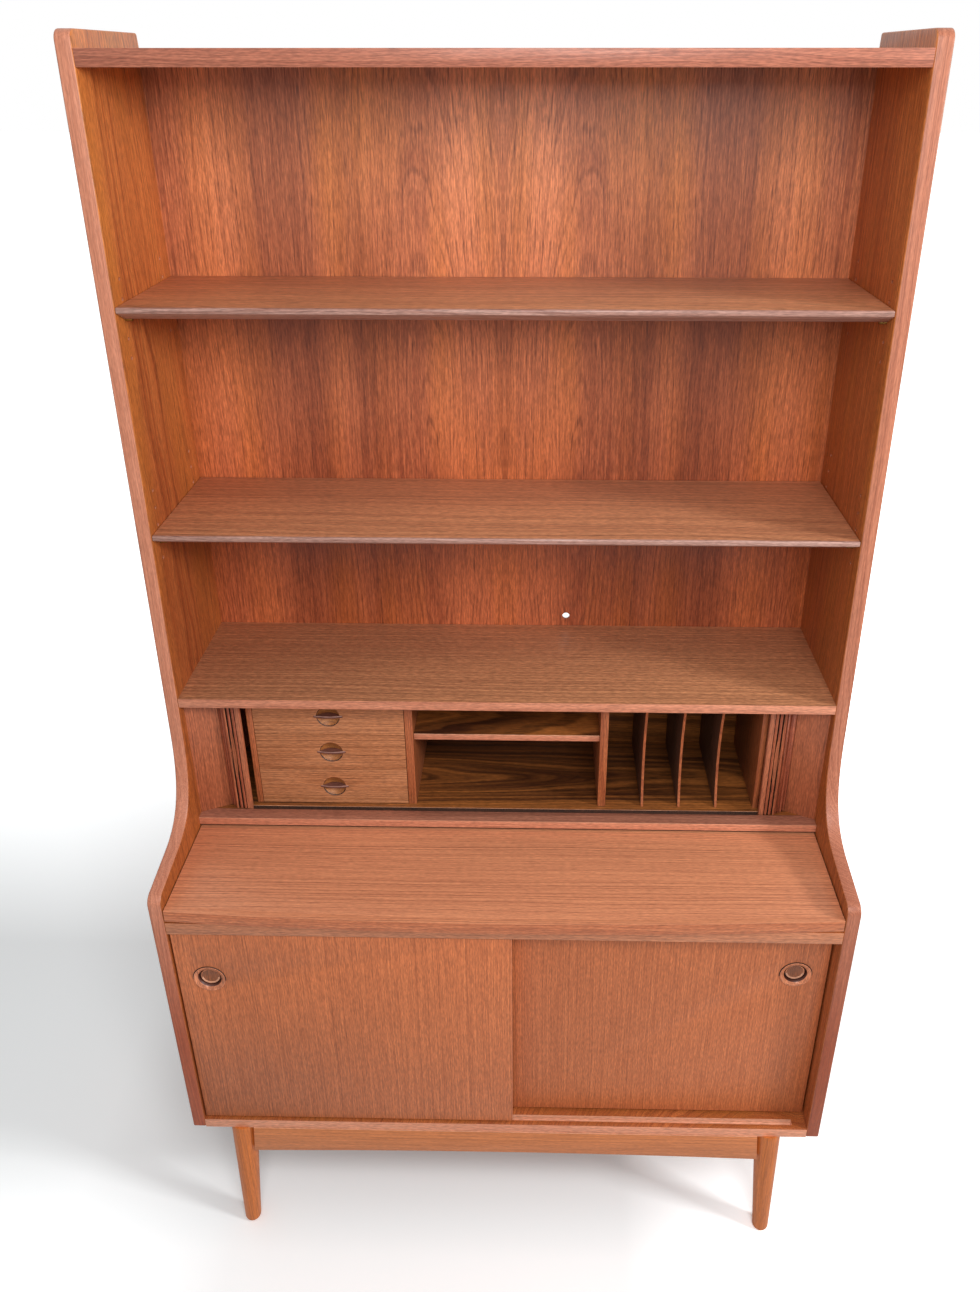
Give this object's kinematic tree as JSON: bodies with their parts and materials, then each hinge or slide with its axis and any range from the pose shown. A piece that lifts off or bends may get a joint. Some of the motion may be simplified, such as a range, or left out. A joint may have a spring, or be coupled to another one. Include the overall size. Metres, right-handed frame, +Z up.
{
  "type": "secretary bookcase",
  "caption": "Teak secretary bookcase with adjustable shelves, tambour compartment with drawers and letter slots, pull-out writing slide, sliding-door cupboard and splayed legs.",
  "frame": {"origin": "on the floor, at the middle of the plan of the whole object", "axes": "+Z up, +X to the right seen from the front, +Y to the back; the front looks along -Y"},
  "size_m": [1, 0.424, 1.82],
  "materials": {
    "side_teak": "satin",
    "shelf_teak": "satin",
    "back_teak": "satin",
    "screw_brass": "satin",
    "pin_brass": "satin",
    "floor_teak": "satin",
    "wing_teak": "satin",
    "tambour_teak": "satin",
    "unit_teak": "satin",
    "unit_back_veneer": "satin",
    "letter_ply": "satin",
    "runner_beech": "satin",
    "drawer_front_teak": "satin",
    "drawer_beech": "satin",
    "bar_teak": "satin",
    "slide_teak": "satin",
    "slide_front_teak": "satin",
    "door_teak": "satin",
    "pull_teak": "satin",
    "leg_teak": "satin"
  },
  "bodies": {
    "case": {"side_left": "side_teak", "side_right": "side_teak", "top_board": "shelf_teak", "back_panel": "back_teak", "back_screws": "screw_brass", "shelf_upper": "shelf_teak", "shelf_lower": "shelf_teak", "shelf_pins": "pin_brass", "fixed_shelf": "shelf_teak", "compartment_floor": "floor_teak", "wing_left": "wing_teak", "wing_right": "wing_teak", "unit_wall_left": "unit_teak", "unit_wall_right": "unit_teak", "unit_top": "unit_teak", "unit_back": "unit_back_veneer", "divider_left": "unit_teak", "divider_right": "unit_teak", "middle_shelf": "shelf_teak", "letter_dividers": "letter_ply", "drawer_runners": "runner_beech", "slide_runners": "runner_beech", "slide_stop_pegs": "runner_beech", "cupboard_top": "shelf_teak", "bottom_board": "shelf_teak", "cupboard_shelf": "shelf_teak", "leg_front_left": "leg_teak", "leg_front_right": "leg_teak", "leg_rear_left": "leg_teak", "leg_rear_right": "leg_teak", "apron_front": "leg_teak", "apron_rear": "leg_teak", "apron_left": "leg_teak", "apron_right": "leg_teak"},
    "tambour_left": {"tambour_left_lead": "tambour_teak", "tambour_left_slats": "tambour_teak"},
    "tambour_right": {"tambour_right_lead": "tambour_teak", "tambour_right_slats": "tambour_teak"},
    "drawer_top": {"drawer_top_front": "drawer_front_teak", "drawer_top_box": "drawer_beech", "drawer_top_bottom": "drawer_beech", "drawer_top_pull": "bar_teak"},
    "drawer_middle": {"drawer_middle_front": "drawer_front_teak", "drawer_middle_box": "drawer_beech", "drawer_middle_bottom": "drawer_beech", "drawer_middle_pull": "bar_teak"},
    "drawer_bottom": {"drawer_bottom_front": "drawer_front_teak", "drawer_bottom_box": "drawer_beech", "drawer_bottom_bottom": "drawer_beech", "drawer_bottom_pull": "bar_teak"},
    "writing_slide": {"writing_slide": "slide_teak", "slide_lipping": "slide_front_teak"},
    "door_left": {"door_left": "door_teak", "door_left_pull": "pull_teak", "door_left_glides": "runner_beech"},
    "door_right": {"door_right": "door_teak", "door_right_pull": "pull_teak", "door_right_glides": "runner_beech"}
  },
  "joints": [
    {"name": "slide_pull_out", "type": "slide", "parent": "case", "child": "writing_slide", "axis": [0, -1, 0], "range_m": [0, 0.17]},
    {"name": "drawer_top_pull_out", "type": "slide", "parent": "case", "child": "drawer_top", "axis": [0, -1, 0], "range_m": [0, 0.12]},
    {"name": "drawer_middle_pull_out", "type": "slide", "parent": "case", "child": "drawer_middle", "axis": [0, -1, 0], "range_m": [0, 0.12]},
    {"name": "drawer_bottom_pull_out", "type": "slide", "parent": "case", "child": "drawer_bottom", "axis": [0, -1, 0], "range_m": [0, 0.12]},
    {"name": "door_left_open", "type": "slide", "parent": "case", "child": "door_left", "axis": [1, 0, 0], "range_m": [0, 0.466]},
    {"name": "door_right_open", "type": "slide", "parent": "case", "child": "door_right", "axis": [-1, 0, 0], "range_m": [0, 0.466]},
    {"name": "tambour_left_open", "type": "slide", "parent": "case", "child": "tambour_left", "axis": [-1, 0, 0], "range_m": [-0.4, 0], "deforming": ["tambour_left_slats"]},
    {"name": "tambour_right_open", "type": "slide", "parent": "case", "child": "tambour_right", "axis": [1, 0, 0], "range_m": [-0.393, 0], "deforming": ["tambour_right_slats"]}
  ]
}
